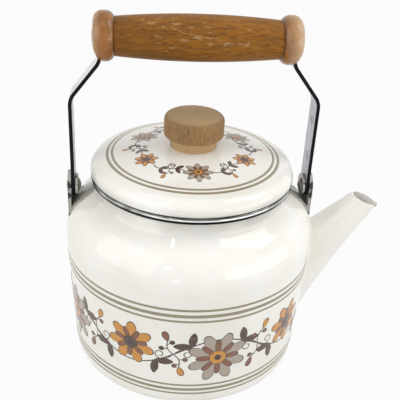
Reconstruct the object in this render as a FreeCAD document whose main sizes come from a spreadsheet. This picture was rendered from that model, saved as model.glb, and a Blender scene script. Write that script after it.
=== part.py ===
import FreeCAD, Part
import math
import os
import Sketcher

# Enamelled steel tea kettle with a swinging bail and a lift-off lid.
# The body stands on Z = 0 with its axis on Z and the spout along +X. Lengths in mm, angles in degrees.

DRIVING = [
    ("wall", 1.2), ("body_radius", 81.5), ("body_widest_height", 91.0), ("body_foot_radius", 77.3),
    ("foot_corner", 8.0), ("shoulder_bend", 28.0), ("shoulder_sweep", 56.0), ("neck_radius", 62.4),
    ("neck_fillet", 5.0), ("lip_height", 129.9),
    ("band_thickness", 0.7), ("band_bulge", 2.4), ("band_height", 4.3), ("band_cap", 1.1),
    ("band_round", 1.7), ("rest_gap", 0.3), ("lid_radius", 64.9), ("lid_edge_round", 1.3), ("lid_shoulder_bend", 8.6),
    ("lid_shoulder_sweep", 74.5), ("collar_radius", 59.8), ("collar_drop", 9.8),
    ("screw_radius", 2.0), ("screw_reach", 11.5), ("screw_head_radius", 4.0), ("screw_head_height", 2.4),
    ("knob_washer_radius", 6.5), ("knob_washer_thickness", 0.8),
    ("knob_base_radius", 14.8), ("knob_base_height", 6.9), ("knob_head_radius", 18.9),
    ("knob_head_height", 13.4), ("knob_top_round", 3.2), ("knob_under_round", 1.4), ("knob_crown", 0.5),
    ("knob_crown_inset", 1.0),
    ("spout_root_offset", 75.0), ("spout_root_height", 59.6), ("spout_elevation", 48.4),
    ("spout_tail", 34.0), ("spout_reach", 78.0), ("spout_tail_radius", 30.5), ("spout_reach_radius", 7.6),
    ("spout_sweep_radius", 600.0), ("spout_cut_height", 66.3), ("spout_cut_tilt", 21.1),
    ("spout_cut_half", 24.0), ("spout_cut_clear", 24.0),
    ("pivot_height", 120.3), ("pivot_radius", 2.5), ("running_clearance", 0.1), ("side_gap", 0.3),
    ("strap_thickness", 2.2), ("strap_width", 15.0), ("strap_offset", 75.6), ("strap_bend", 11.0),
    ("strap_lean", 38.0), ("strap_bend_height", 180.0), ("strap_top_rise", 7.0),
    ("ear_thickness", 2.0), ("ear_width", 18.6), ("ear_arm_thickness", 1.1), ("ear_arm_sweep", 54.0),
    ("ear_sink", 0.8),
    ("washer_radius", 7.2), ("washer_thickness", 1.3), ("rivet_head_radius", 4.6), ("rivet_head_height", 2.0),
    ("rivet_tail_radius", 4.2), ("rivet_tail_height", 1.2),
    ("grip_height", 216.5), ("grip_half_length", 61.4), ("bead_length", 12.9), ("bead_radius", 14.6),
    ("bead_round", 5.5), ("grip_neck_radius", 11.4), ("barrel_bow", 502.0), ("rod_radius", 2.5),
    ("grip_slot_offset", 57.4), ("slot_side_clearance", 0.2), ("facet_start", 3.7), ("facet_lean", 20.7),
    ("end_recess_radius", 4.8), ("end_recess_depth", 2.0), ("rod_head_radius", 4.5), ("rod_head_height", 2.7),
    ("rod_head_edge", 1.0), ("cut_margin", 2.0),
]


class Size:
    """A length that carries its value and the sheet expression that gives it."""

    def __init__(self, value, text):
        self.value = float(value)
        self.text = text

    def join(self, other, sign, value):
        return Size(value, "(%s %s %s)" % (self.text, sign, other.text))

    def __add__(self, other):
        other = size_of(other)
        return self.join(other, "+", self.value + other.value)

    def __sub__(self, other):
        other = size_of(other)
        return self.join(other, "-", self.value - other.value)

    def __mul__(self, other):
        other = size_of(other)
        return self.join(other, "*", self.value * other.value)

    def __truediv__(self, other):
        other = size_of(other)
        return self.join(other, "/", self.value / other.value)

    def __neg__(self):
        return Size(-self.value, "(0 - %s)" % self.text)


def size_of(entry):
    """A plain number as a Size."""
    return entry if isinstance(entry, Size) else Size(entry, repr(float(entry)))


def turn(name, angle):
    """Sine, cosine or tangent of an angle given in degrees."""
    return Size(getattr(math, name)(math.radians(angle.value)), "%s(%s * 1 deg)" % (name, angle.text))


def root(entry):
    """Square root of a Size."""
    return Size(math.sqrt(entry.value), "sqrt(%s)" % entry.text)


class Sizes:
    """Every driving dimension by name."""


doc = FreeCAD.newDocument("kettle")
sheet = doc.addObject("Spreadsheet::Sheet", "Sizes")
S = Sizes()
for row, (name, value) in enumerate(DRIVING, 1):
    sheet.set("A%d" % row, name)
    sheet.set("B%d" % row, str(value))
    sheet.setAlias("B%d" % row, name)
    setattr(S, name, Size(value, "Sizes.%s" % name))
doc.recompute()


# Sketching

def constrain(sketch, constraint, size=None):
    """Add one constraint and bind it to its sheet expression."""
    index = sketch.addConstraint(constraint)
    if size is not None:
        sketch.setExpression("Constraints[%d]" % index, size.text)


def place_vertex(sketch, geo, pos, point):
    """Fix a vertex at a point measured from the sketch origin."""
    for kind, size, axis in (("DistanceX", size_of(point[0]), -2), ("DistanceY", size_of(point[1]), -1)):
        if abs(size.value) < 1e-9:
            constrain(sketch, Sketcher.Constraint("PointOnObject", geo, pos, axis))
        else:
            constrain(sketch, Sketcher.Constraint(kind, -1, 1, geo, pos, size.value), size)


def arc_between(start, end, radius, left):
    """Arc from start to end, and whether it runs anticlockwise; left puts its centre left of the chord."""
    ax, ay = start
    bx, by = end
    half = math.hypot(bx - ax, by - ay) / 2
    rise = math.sqrt(max(radius * radius - half * half, 0.0)) * (1 if left else -1)
    cx = (ax + bx) / 2 - (by - ay) / (2 * half) * rise
    cy = (ay + by) / 2 + (bx - ax) / (2 * half) * rise
    first = math.atan2(ay - cy, ax - cx)
    last = math.atan2(by - cy, bx - cx)
    if not left:
        first, last = last, first
    if last < first:
        last += 2 * math.pi
    circle = Part.Circle(FreeCAD.Vector(cx, cy, 0), FreeCAD.Vector(0, 0, 1), radius)
    return Part.ArcOfCircle(circle, first, last)


def draw(sketch, outline):
    """Closed outline of (x, y) corners; a third and fourth entry make the run to the next corner an arc.

    A half circle stands on a level chord and is fixed by the height of its centre.
    """
    ends = []
    count = len(outline)
    for i, corner in enumerate(outline):
        here = (size_of(corner[0]).value, size_of(corner[1]).value)
        after = outline[(i + 1) % count]
        there = (size_of(after[0]).value, size_of(after[1]).value)
        if len(corner) == 4:
            left = corner[3].endswith("left")
            geo = sketch.addGeometry(arc_between(here, there, size_of(corner[2]).value, left))
            ends.append((geo, 1, 2) if left else (geo, 2, 1))
        else:
            line = Part.LineSegment(FreeCAD.Vector(*here, 0), FreeCAD.Vector(*there, 0))
            ends.append((sketch.addGeometry(line), 1, 2))
    for i, (geo, first, last) in enumerate(ends):
        following, start, unused = ends[(i + 1) % count]
        constrain(sketch, Sketcher.Constraint("Coincident", geo, last, following, start))
    for corner, (geo, first, last) in zip(outline, ends):
        place_vertex(sketch, geo, first, corner)
        if len(corner) == 4 and corner[3].startswith("half"):
            height = size_of(corner[1])
            constrain(sketch, Sketcher.Constraint("DistanceY", -1, 1, geo, 3, height.value), height)
        elif len(corner) == 4:
            radius = size_of(corner[2])
            constrain(sketch, Sketcher.Constraint("Radius", geo, radius.value), radius)


def ring(sketch, across, up, radius):
    """Circle about a point of the sketch."""
    centre = FreeCAD.Vector(size_of(across).value, size_of(up).value, 0)
    geo = sketch.addGeometry(Part.Circle(centre, FreeCAD.Vector(0, 0, 1), radius.value))
    place_vertex(sketch, geo, 3, (across, up))
    constrain(sketch, Sketcher.Constraint("Radius", geo, radius.value), radius)


def new_body(label):
    body = doc.addObject("PartDesign::Body", label)
    body.Label = label
    return body


def new_sketch(body, plane):
    """Sketch on one of the body's own origin planes."""
    sketch = body.newObject("Sketcher::SketchObject", body.Label + "_sketch")
    support = [f for f in body.Origin.OriginFeatures if f.Role == plane][0]
    sketch.AttachmentSupport = [(support, "")]
    sketch.MapMode = "FlatFace"
    return sketch


def turned(label, outline, axis="V_Axis"):
    """Solid of revolution of an outline drawn in the XZ plane, about Z or X."""
    body = new_body(label)
    sketch = new_sketch(body, "XZ_Plane")
    draw(sketch, outline)
    solid = body.newObject("PartDesign::Revolution", label + "_turned")
    solid.Profile = sketch
    solid.ReferenceAxis = (sketch, [axis])
    solid.Angle = 360
    return body


def padded(label, outline, width):
    """Outline in the XZ plane padded evenly to both sides."""
    body = new_body(label)
    sketch = new_sketch(body, "XZ_Plane")
    draw(sketch, outline)
    solid = body.newObject("PartDesign::Pad", label + "_pad")
    solid.Profile = sketch
    solid.SideType = "Symmetric"
    solid.setExpression("Length", width.text)
    return body


def cut_through(body, plane, fill, width=None):
    """Pocket through the body from one of its planes; fill draws the sketch."""
    sketch = new_sketch(body, plane)
    fill(sketch)
    pocket = body.newObject("PartDesign::Pocket", body.Label + "_pocket")
    pocket.Profile = sketch
    pocket.SideType = "Symmetric"
    if width is None:
        pocket.Type = "ThroughAll"
    else:
        pocket.setExpression("Length", width.text)


def shift(item, x=None, z=None, lean=None):
    """Bind the place of an item to the sheet; lean turns it about Y."""
    if lean is not None:
        item.Placement = FreeCAD.Placement(
            FreeCAD.Vector(), FreeCAD.Rotation(FreeCAD.Vector(0, 1, 0), lean.value))
        item.setExpression("Placement.Rotation.Angle", "%s * 1 deg" % lean.text)
    if x is not None:
        item.setExpression("Placement.Base.x", x.text)
    if z is not None:
        item.setExpression("Placement.Base.z", z.text)


def less(label, base, tool):
    """One item with another cut away."""
    result = doc.addObject("Part::Cut", label)
    result.Base = base
    result.Tool = tool
    result.Label = label
    return result


def opposite(label, source):
    """The same piece on the other side of the kettle."""
    result = doc.addObject("Part::Mirroring", label)
    result.Source = source
    result.Normal = FreeCAD.Vector(1, 0, 0)
    result.Label = label
    return result


# Body, drawn from sheet: flat bottom, tapered wall, round shoulder, short neck

sweep_cos = turn("cos", S.shoulder_sweep)
sweep_sin = turn("sin", S.shoulder_sweep)
shoulder_x = S.body_radius - S.shoulder_bend
shoulder_end_x = shoulder_x + S.shoulder_bend * sweep_cos
shoulder_end_z = S.body_widest_height + S.shoulder_bend * sweep_sin
fillet_x = S.neck_radius + S.neck_fillet
fillet_z = (shoulder_end_z + (shoulder_end_x - S.neck_radius) * sweep_cos / sweep_sin
            + S.neck_fillet * turn("tan", S.shoulder_sweep / 2))


def body_side(inset):
    """Wall line from the bottom to the mouth edge, set in by a distance."""
    return [
        (S.body_foot_radius - S.foot_corner, inset, S.foot_corner - inset, "left"),
        (S.body_foot_radius - inset, S.foot_corner),
        (S.body_radius - inset, S.body_widest_height, S.shoulder_bend - inset, "left"),
        (shoulder_x + (S.shoulder_bend - inset) * sweep_cos,
         S.body_widest_height + (S.shoulder_bend - inset) * sweep_sin),
        (fillet_x - (S.neck_fillet + inset) * sweep_cos,
         fillet_z - (S.neck_fillet + inset) * sweep_sin, S.neck_fillet + inset, "right"),
        (S.neck_radius - inset, fillet_z),
        (S.neck_radius - inset, S.lip_height),
    ]


def reverse(side):
    """A side run the other way, arcs included."""
    back = []
    for i in range(len(side) - 1, -1, -1):
        corner = side[i][:2]
        if i > 0 and len(side[i - 1]) == 4:
            radius, hand = side[i - 1][2:]
            corner = corner + (radius, "right" if hand == "left" else "left")
        back.append(corner)
    return back


zero = size_of(0)
outer_side = body_side(zero)
inner_side = body_side(S.wall)
envelope = turned("body_envelope", [(zero, zero)] + outer_side + [(zero, S.lip_height)])
drawn_shell = turned("drawn_shell", [(zero, zero)] + outer_side + reverse(inner_side) + [(zero, S.wall)])

# Spout, drawn about its own axis, then leaned out of the wall

spout_lean = size_of(90) - S.spout_elevation


def spout_side(inset):
    """Flared side of the spout from its tail to past its tip, set in by a distance."""
    return [(S.spout_tail_radius - inset, -S.spout_tail, S.spout_sweep_radius + inset, "right"),
            (S.spout_reach_radius - inset, S.spout_reach)]


tube = turned("spout_tube", spout_side(zero) + reverse(spout_side(S.wall)))
cut_rise = S.spout_cut_half * turn("tan", S.spout_cut_tilt)
cut_top = S.spout_reach + S.spout_cut_clear
cut_through(tube, "XZ_Plane", lambda sketch: draw(sketch, [
    (-S.spout_cut_half, S.spout_cut_height - cut_rise), (S.spout_cut_half, S.spout_cut_height + cut_rise),
    (S.spout_cut_half, cut_top), (-S.spout_cut_half, cut_top)]))
passage = turned("spout_passage", [(zero, -S.spout_tail)] + spout_side(S.wall) + [(zero, S.spout_reach)])
for item in (tube, passage):
    shift(item, S.spout_root_offset, S.spout_root_height, spout_lean)

body_shell = less("body_shell", drawn_shell, passage)
spout = less("spout", tube, envelope)

# Steel band crimped over the mouth edge

band_top = S.lip_height + S.band_cap
band_low = band_top - S.band_height
mouth_radius = S.neck_radius - S.wall
band_out = S.neck_radius + S.band_bulge
band_in = mouth_radius - S.band_thickness
rim_band = turned("rim_band", [
    (mouth_radius, band_low), (mouth_radius, S.lip_height), (S.neck_radius, S.lip_height),
    (S.neck_radius, band_low), (band_out - S.band_round, band_low, S.band_round, "left"),
    (band_out, band_low + S.band_round), (band_out, band_top - S.band_round, S.band_round, "left"),
    (band_out - S.band_round, band_top), (band_in + S.band_cap, band_top, S.band_cap, "left"),
    (band_in, S.lip_height), (band_in, band_low)])

# Lid: one pressed dome with a turned-in edge, a collar, a knob and its screw

lid_low = band_top + S.rest_gap
lid_turn_z = lid_low + S.lid_edge_round
lid_arc_x = S.lid_radius - S.lid_shoulder_bend
lid_cos = turn("cos", S.lid_shoulder_sweep)
lid_sin = turn("sin", S.lid_shoulder_sweep)
dome_edge_x = lid_arc_x + S.lid_shoulder_bend * lid_cos
dome_radius = dome_edge_x / lid_cos
dome_centre_z = lid_turn_z + S.lid_shoulder_bend * lid_sin - dome_radius * lid_sin
screw_hole = S.screw_radius


def dome_height(distance, inset):
    """Height of the dome at a distance from the axis, set in by the sheet thickness."""
    reach = dome_radius - inset
    return dome_centre_z + root(reach * reach - distance * distance)


def lid_side(inset):
    """Lid from its turned-in edge up to the screw hole, set in by a distance."""
    return [
        (S.collar_radius, lid_low + inset),
        (S.lid_radius - S.lid_edge_round, lid_low + inset, S.lid_edge_round - inset, "left"),
        (S.lid_radius - inset, lid_turn_z, S.lid_shoulder_bend - inset, "left"),
        (lid_arc_x + (S.lid_shoulder_bend - inset) * lid_cos,
         lid_turn_z + (S.lid_shoulder_bend - inset) * lid_sin, dome_radius - inset, "left"),
        (screw_hole, dome_height(screw_hole, inset)),
    ]


lid_shell = turned("lid_shell", lid_side(zero) + reverse(lid_side(S.wall)))
collar_in = S.collar_radius - S.wall
collar_low = band_top - S.collar_drop
lid_collar = turned("lid_collar", [
    (collar_in, collar_low), (S.collar_radius, collar_low),
    (S.collar_radius, lid_low + S.wall), (collar_in, lid_low + S.wall)])

knob_low = dome_height(S.knob_base_radius, zero)
knob_step = knob_low + S.knob_base_height
knob_rim = knob_step + S.knob_head_height
knob_seat = dome_height(screw_hole, zero)
screw_top = knob_seat + S.screw_reach
knob_crown_x = S.knob_head_radius - S.knob_top_round - S.knob_crown_inset
knob = turned("knob", [
    (screw_hole, knob_seat, dome_radius, "right"),
    (S.knob_base_radius, knob_low), (S.knob_base_radius, knob_step),
    (S.knob_head_radius - S.knob_under_round, knob_step, S.knob_under_round, "left"),
    (S.knob_head_radius, knob_step + S.knob_under_round),
    (S.knob_head_radius, knob_rim - S.knob_top_round, S.knob_top_round, "left"),
    (S.knob_head_radius - S.knob_top_round, knob_rim), (knob_crown_x, knob_rim + S.knob_crown),
    (zero, knob_rim + S.knob_crown), (zero, screw_top), (screw_hole, screw_top)])

washer_top = dome_height(S.knob_washer_radius, S.wall)
washer_low = washer_top - S.knob_washer_thickness
knob_washer = turned("knob_washer", [
    (screw_hole, washer_low), (S.knob_washer_radius, washer_low),
    (S.knob_washer_radius, washer_top), (screw_hole, washer_top)])
head_low = washer_low - S.screw_head_height
head_edge = S.screw_head_radius - S.screw_head_height / 2
knob_screw = turned("knob_screw", [
    (zero, head_low), (head_edge, head_low, S.screw_head_height / 2, "left"),
    (S.screw_head_radius, head_low + S.screw_head_height / 2), (S.screw_head_radius, washer_low),
    (S.screw_radius, washer_low), (S.screw_radius, screw_top), (zero, screw_top)])

# Ears: strip laid on the shoulder, folded up beside the strap, rounded on top

strap_half = S.strap_thickness / 2
ear_in = S.strap_offset + strap_half + S.side_gap
ear_out = ear_in + S.ear_thickness
arm_low = S.shoulder_bend - S.ear_sink
arm_high = S.shoulder_bend + S.ear_arm_thickness
arm_cos = turn("cos", S.ear_arm_sweep)
arm_sin = turn("sin", S.ear_arm_sweep)
ear_top = S.pivot_height + S.ear_width / 2


def arc_height(radius, across):
    """Height of a shoulder arc at a distance from the axis."""
    run = across - shoulder_x
    return S.body_widest_height + root(radius * radius - run * run)


ear = padded("ear_strip", [
    (shoulder_x + arm_low * arm_cos, S.body_widest_height + arm_low * arm_sin, arm_low, "right"),
    (ear_out, arc_height(arm_low, ear_out)), (ear_out, ear_top), (ear_in, ear_top),
    (ear_in, arc_height(arm_high, ear_in), arm_high, "left"),
    (shoulder_x + arm_high * arm_cos, S.body_widest_height + arm_high * arm_sin)], S.ear_width)


def arch(sketch, half, side):
    """Waste round a rounded end; side is 1 above the pivot and -1 below it."""
    beyond = half + S.cut_margin
    far = S.pivot_height + beyond * side
    hand = "half right" if side > 0 else "half left"
    draw(sketch, [(-beyond, S.pivot_height), (-half, S.pivot_height, half, hand),
                  (half, S.pivot_height), (beyond, S.pivot_height), (beyond, far), (-beyond, far)])


cut_through(ear, "YZ_Plane", lambda sketch: arch(sketch, S.ear_width / 2, 1))
cut_through(ear, "YZ_Plane", lambda sketch: ring(sketch, 0, S.pivot_height, S.pivot_radius))
front_ear = less("front_ear", ear, envelope)
rear_ear = opposite("rear_ear", front_ear)

# Pivot rivets along X, each with a washer under its inner head

washer_face = S.strap_offset - strap_half - S.side_gap
head_face = washer_face - S.washer_thickness
head_bend = (S.rivet_head_radius * S.rivet_head_radius + S.rivet_head_height * S.rivet_head_height) / (
    S.rivet_head_height * 2)
tail_bend = (S.rivet_tail_radius * S.rivet_tail_radius + S.rivet_tail_height * S.rivet_tail_height) / (
    S.rivet_tail_height * 2)
front_pivot_rivet = turned("front_pivot_rivet", [
    (head_face - S.rivet_head_height, zero), (ear_out + S.rivet_tail_height, zero, tail_bend, "left"),
    (ear_out, S.rivet_tail_radius), (ear_out, S.pivot_radius), (head_face, S.pivot_radius),
    (head_face, S.rivet_head_radius, head_bend, "left")], "H_Axis")
front_pivot_washer = turned("front_pivot_washer", [
    (head_face, S.pivot_radius), (washer_face, S.pivot_radius),
    (washer_face, S.washer_radius), (head_face, S.washer_radius)], "H_Axis")
for item in (front_pivot_rivet, front_pivot_washer):
    shift(item, z=S.pivot_height)
rear_pivot_rivet = opposite("rear_pivot_rivet", front_pivot_rivet)
rear_pivot_washer = opposite("rear_pivot_washer", front_pivot_washer)

# Bail straps: flat bar, two bends, rounded foot, pivot hole and rod hole

lean_cos = turn("cos", S.strap_lean)
lean_sin = turn("sin", S.strap_lean)
bend_run = S.strap_bend * turn("tan", S.strap_lean / 2)
low_x = S.strap_offset - S.strap_bend
low_z = S.strap_bend_height - bend_run
high_x = S.grip_slot_offset + S.strap_bend
high_z = (S.strap_bend_height + (S.strap_offset - S.grip_slot_offset) / turn("tan", S.strap_lean) + bend_run)
wide = S.strap_bend + strap_half
tight = S.strap_bend - strap_half
strap_foot = S.pivot_height - S.strap_width / 2
strap_top = S.grip_height + S.strap_top_rise
front_strap = padded("front_strap", [
    (S.strap_offset + strap_half, strap_foot),
    (S.strap_offset + strap_half, low_z, wide, "left"),
    (low_x + wide * lean_cos, low_z + wide * lean_sin),
    (high_x - tight * lean_cos, high_z - tight * lean_sin, tight, "right"),
    (S.grip_slot_offset + strap_half, high_z),
    (S.grip_slot_offset + strap_half, strap_top),
    (S.grip_slot_offset - strap_half, strap_top),
    (S.grip_slot_offset - strap_half, high_z, wide, "left"),
    (high_x - wide * lean_cos, high_z - wide * lean_sin),
    (low_x + tight * lean_cos, low_z + tight * lean_sin, tight, "right"),
    (S.strap_offset - strap_half, low_z),
    (S.strap_offset - strap_half, strap_foot)], S.strap_width)
cut_through(front_strap, "YZ_Plane", lambda sketch: arch(sketch, S.strap_width / 2, -1))
cut_through(front_strap, "YZ_Plane",
            lambda sketch: ring(sketch, 0, S.pivot_height, S.pivot_radius + S.running_clearance))
cut_through(front_strap, "YZ_Plane", lambda sketch: ring(sketch, 0, S.grip_height, S.rod_radius))
rear_strap = opposite("rear_strap", front_strap)

# Grip, turned about X: a bowed barrel and two beads slotted for the straps, held by a rod

bead_top_out = S.grip_half_length - S.bead_round
bead_top_in = S.grip_half_length - S.bead_length + S.bead_round
bead_drop = S.bead_round - (S.bead_radius - S.grip_neck_radius)
bead_foot = bead_top_in - root(S.bead_round * S.bead_round - bead_drop * bead_drop)
recess = S.grip_half_length - S.end_recess_depth
grip = turned("grip", [
    (-bead_foot, S.rod_radius), (bead_foot, S.rod_radius),
    (bead_foot, S.grip_neck_radius, S.barrel_bow, "left"), (-bead_foot, S.grip_neck_radius)], "H_Axis")
front_grip_bead = turned("front_grip_bead", [
    (bead_foot, S.rod_radius), (recess, S.rod_radius), (recess, S.end_recess_radius),
    (S.grip_half_length, S.end_recess_radius),
    (S.grip_half_length, S.bead_radius - S.bead_round, S.bead_round, "left"),
    (bead_top_out, S.bead_radius), (bead_top_in, S.bead_radius, S.bead_round, "left"),
    (bead_foot, S.grip_neck_radius)], "H_Axis")
slot_in = S.grip_slot_offset - strap_half - S.slot_side_clearance
slot_out = S.grip_slot_offset + strap_half + S.slot_side_clearance
slot_top = S.strap_top_rise + S.slot_side_clearance
slot_low = -(S.bead_radius + S.cut_margin)
facet_foot = S.grip_half_length + (slot_low + S.facet_start) * turn("tan", S.facet_lean)
facet_far = S.grip_half_length + S.cut_margin
cut_through(front_grip_bead, "XZ_Plane", lambda sketch: draw(sketch, [
    (slot_in, slot_low), (slot_out, slot_low), (slot_out, slot_top), (slot_in, slot_top)]),
    S.strap_width + S.slot_side_clearance * 2)
cut_through(front_grip_bead, "XZ_Plane", lambda sketch: draw(sketch, [
    (S.grip_half_length, -S.facet_start), (facet_foot, slot_low),
    (facet_far, slot_low), (facet_far, -S.facet_start)]))
head_out = recess + S.rod_head_height
rod_round = S.rod_head_height - S.rod_head_edge
nut_face = -recess - S.rod_head_edge
tie_rod = turned("tie_rod", [
    (nut_face, zero), (head_out, zero), (head_out, S.rod_head_radius - rod_round, rod_round, "left"),
    (recess + S.rod_head_edge, S.rod_head_radius), (recess, S.rod_head_radius), (recess, S.rod_radius),
    (nut_face, S.rod_radius)], "H_Axis")
rod_nut = turned("rod_nut", [
    (-head_out, zero), (nut_face, zero), (nut_face, S.rod_radius), (-recess, S.rod_radius),
    (-recess, S.rod_head_radius), (nut_face, S.rod_head_radius, rod_round, "left"),
    (-head_out, S.rod_head_radius - rod_round)], "H_Axis")
for item in (grip, front_grip_bead, tie_rod, rod_nut):
    shift(item, z=S.grip_height)
rear_grip_bead = opposite("rear_grip_bead", front_grip_bead)

NODES = [
    body_shell, spout, rim_band, front_ear, rear_ear, front_pivot_rivet, rear_pivot_rivet,
    front_pivot_washer, rear_pivot_washer, front_strap, rear_strap, grip, front_grip_bead,
    rear_grip_bead, tie_rod, rod_nut,
    lid_shell, lid_collar, knob, knob_screw, knob_washer,
]

doc.recompute()
for item in doc.Objects:
    if "Invalid" in item.State or "Error" in item.State:
        raise RuntimeError("%s does not build: %s" % (item.Label, item.State))
os.makedirs("parts", exist_ok=True)
for node in NODES:
    shape = node.Shape
    if shape.isNull() or not shape.isValid() or len(shape.Solids) != 1:
        raise RuntimeError("%s is not one valid solid" % node.Label)
    box = shape.optimalBoundingBox(False)
    print("%-20s x %7.2f %7.2f  y %7.2f %7.2f  z %7.2f %7.2f  %9.1f mm3" % (
        node.Label, box.XMin, box.XMax, box.YMin, box.YMax, box.ZMin, box.ZMax, shape.Volume))
    shape.exportStep("parts/%s.step" % node.Label)
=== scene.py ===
import math

import bpy
import numpy as np
from mathutils import Matrix, Vector


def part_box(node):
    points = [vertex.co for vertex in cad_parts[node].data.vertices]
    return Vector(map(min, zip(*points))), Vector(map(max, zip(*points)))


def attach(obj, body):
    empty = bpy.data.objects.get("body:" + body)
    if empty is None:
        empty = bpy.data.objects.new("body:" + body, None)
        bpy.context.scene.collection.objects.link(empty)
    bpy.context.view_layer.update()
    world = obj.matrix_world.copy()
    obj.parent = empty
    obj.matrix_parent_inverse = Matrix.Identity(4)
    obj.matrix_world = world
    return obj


bl_info = {
    "name": "Enamelled Tea Kettle",
    "version": (1, 0, 0),
    "blender": (4, 5, 0),
    "location": "View3D > Sidebar > Kettle",
    "description": "Finishes, printed ornament and studio for an enamelled tea kettle",
    "category": "Object",
}

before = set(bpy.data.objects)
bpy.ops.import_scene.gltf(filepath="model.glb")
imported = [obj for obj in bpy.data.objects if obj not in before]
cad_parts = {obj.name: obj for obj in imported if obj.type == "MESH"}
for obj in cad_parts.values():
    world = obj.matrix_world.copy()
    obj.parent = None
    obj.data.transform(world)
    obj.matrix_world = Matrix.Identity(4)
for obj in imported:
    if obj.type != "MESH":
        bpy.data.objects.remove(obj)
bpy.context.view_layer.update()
MM = 0.001


def linear(hex_colour):
    """An sRGB hex value as linear red, green and blue."""
    parts = np.array([int(hex_colour[i:i + 2], 16) for i in (1, 3, 5)]) / 255.0
    return tuple(np.where(parts <= 0.04045, parts / 12.92, ((parts + 0.055) / 1.055) ** 2.4))


def box_mm(node_name):
    """Lowest and highest corner of a node, in millimetres."""
    low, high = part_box(node_name)
    return np.array(low) / MM, np.array(high) / MM


def heights(node_name):
    """Lowest and highest height of a node, in millimetres."""
    low, high = box_mm(node_name)
    return low[2], high[2]


# Sizes of the kettle in millimetres, from the frame where it holds them

BODY_RADIUS = box_mm("body_shell")[1][1]
FOOT_RADIUS, FOOT_HEIGHT = 77.3, 8.0
WIDEST_HEIGHT = 91.0
SHOULDER_RADIUS = 28.0
SHOULDER_SWEEP = math.radians(56.0)
SLOPE_LENGTH = 5.5
NECK_FILLET = 5.0
EAR_TOP = heights("front_ear")[1]
ARM_START = math.radians(47.0)
BAND_LOW, BAND_TOP = heights("rim_band")
LID_LOW, LID_TOP = heights("lid_shell")
DOME_RADIUS = 219.3
KNOB_STEP, KNOB_TOP = 155.3, heights("knob")[1]
GRIP_HEIGHT = sum(heights("grip")) / 2
BEAD_START, BEAD_END = box_mm("grip")[1][0], box_mm("front_grip_bead")[1][0]
SPOUT_ROOT = np.array([75.0, 0.0, 59.6])
SPOUT_ELEVATION = math.radians(48.4)
SPOUT_TAIL, SPOUT_REACH = -34.0, 78.0
SPOUT_TAIL_RADIUS, SPOUT_REACH_RADIUS = 30.5, 7.6
SPOUT_SWEEP_RADIUS = 600.0
LIP_TIP, LIP_TIP_HEIGHT = box_mm("spout")[1][0], 106.0
LIP_HALF_LENGTH, LIP_HALF_WIDTH, LIP_HALF_RISE = 6.6, 7.7, 3.35


def colour(name, description, hex_colour):
    """Colour that a user may change."""
    return bpy.props.FloatVectorProperty(
        name=name, description=description, subtype="COLOR", default=linear(hex_colour))


def number(name, description, default):
    """Number that a user may change."""
    return bpy.props.FloatProperty(name=name, description=description, default=default)


class KettleEnamel(bpy.types.PropertyGroup):
    """Colours of the enamel and of the printed ornament."""

    ground: colour("Ground", "Warm-white enamel", "#F1EFE9")
    shade: colour("Shade", "Slightly creamier enamel, where it fired thicker", "#EAE7DD")
    ear: colour("Ear", "Grey enamel of the ears", "#9F9D96")
    ear_shade: colour("Ear shade", "Slightly paler grey, in places", "#A9A79F")
    # Painted shade: grey for the neck under the band and the lid's lower edge, where they mirror dark
    # surroundings
    grime_and_shade: colour("Painted shade", "Grey beside the rim band", "#8B8A80")
    chip: colour("Chip", "Dark ground coat under a chip", "#1B1917")
    stripe: colour("Stripe", "Taupe of the plain rings", "#92886F")
    line: colour("Line", "Dark brown of the outlines", "#43302A")
    brown: colour("Brown", "Warm brown of petals", "#81513A")
    ochre: colour("Ochre", "Ochre of petals and buds", "#CC8C30")
    taupe: colour("Taupe", "Taupe of the outer petals", "#A99D8E")
    leaf: colour("Leaf", "Umber of the leaves", "#4E382A")


class KettlePrint(bpy.types.PropertyGroup):
    """Sizes of the printed ornament, in millimetres."""

    waves: bpy.props.IntProperty(name="Waves", description="Waves of the vine round the body", default=4)
    swing: number("Swing", "Rise of the vine from its middle line", 11.0)
    blossom: number("Blossom", "Radius of a blossom on the body", 18.5)
    line_width: number("Line width", "Width of an outline", 0.5)
    lid_circle: number("Lid circle", "Radius of the wreath on the lid", 35.0)
    lid_blossom: number("Lid blossom", "Radius of a blossom on the lid", 8.6)


class KettleWood(bpy.types.PropertyGroup):
    """Colours of the turned wood."""

    grip: colour("Grip", "Varnished honey-brown oak", "#8A5818")
    grip_dark: colour("Grip grain", "Dark pores of the oak", "#4A2D10")
    bead: colour("Bead", "Pinker wood of the end beads", "#9A6222")
    knob: colour("Knob", "Bare beech of the knob", "#9A784E")
    knob_dark: colour("Knob grain", "Dark flecks of the beech", "#6A4B2A")


class KettleStage(bpy.types.PropertyGroup):
    """Camera and even light."""

    azimuth: number("Azimuth", "Camera turn in degrees", -6.3)
    elevation: number("Elevation", "Camera height in degrees", 32.7)
    distance: number("Distance", "Camera distance from the aim in mm", 471.2)
    aim_height: number("Aim height", "Height aimed at in mm", 68.5)
    yaw: number("Yaw", "Turn of the view about its up axis in degrees", -0.8)
    pitch: number("Pitch", "Turn of the view about its right axis in degrees", 4.3)
    roll: number("Roll", "Turn of the view about its own axis in degrees", -2.8)
    lens: number("Lens", "Focal length in mm", 61.3)
    world: number("World", "Strength of the even light", 0.65)


# Materials

def node(tree, kind, links=None, out=0, **settings):
    """Add a shader node with its settings and give an output; links maps an input to a value or output."""
    made = tree.nodes.new("ShaderNode" + kind)
    for name, value in settings.items():
        setattr(made, name, value)
    for key, value in (links or {}).items():
        socket = made.inputs[key]
        if isinstance(value, bpy.types.NodeSocket):
            tree.links.new(value, socket)
        else:
            socket.default_value = (*value, 1.0) if socket.type == "RGBA" else value
    return made.outputs[out] if made.outputs else made


def blank_material(name):
    """New material with an empty tree and its object coordinates."""
    material = bpy.data.materials.new(name)
    material.use_nodes = True
    tree = material.node_tree
    tree.nodes.clear()
    return material, tree, node(tree, "TexCoord", out="Object")


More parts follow.
